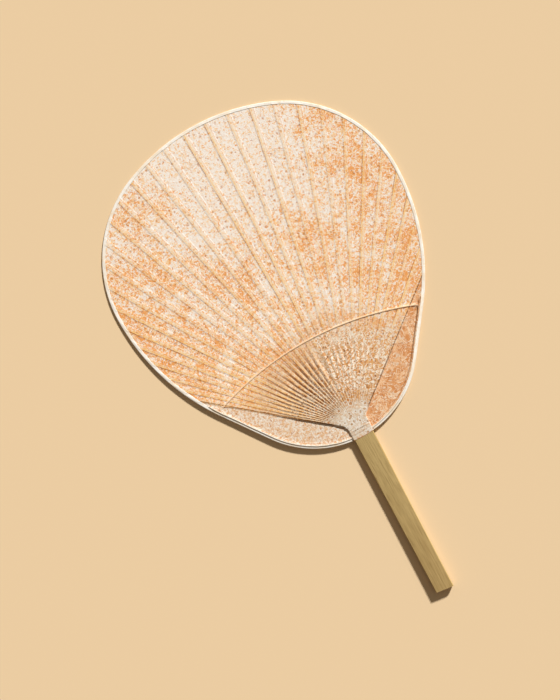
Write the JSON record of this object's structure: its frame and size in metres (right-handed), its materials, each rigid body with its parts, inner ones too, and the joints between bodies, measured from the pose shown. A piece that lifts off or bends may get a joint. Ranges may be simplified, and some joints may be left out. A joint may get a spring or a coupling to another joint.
{
  "type": "round uchiwa fan",
  "caption": "Rigid hand fan: a flat bamboo handle split into ribs that spread between two sheets of handmade paper, with a folded paper rim.",
  "frame": {"origin": "middle of the fan's width and length, on the plane of the handle's flat back", "axes": "+Y from the end of the handle to the top of the face, +Z out of the front of the face, +X to the right seen from the front"},
  "size_m": [0.2232, 0.3698, 0.0053],
  "materials": {
    "bamboo_handle": "smooth bamboo skin",
    "bamboo_rod": "whittled bamboo",
    "cotton_thread": "twisted cotton",
    "front_washi": "handmade paper",
    "back_washi": "handmade paper",
    "rim_washi": "plain thin paper"
  },
  "bodies": {
    "root": {"split_bamboo": "bamboo_handle", "bow": "bamboo_rod", "weaving_thread": "cotton_thread", "front_paper": "front_washi", "back_paper": "back_washi", "rim_strip": "rim_washi"}
  },
  "joints": []
}
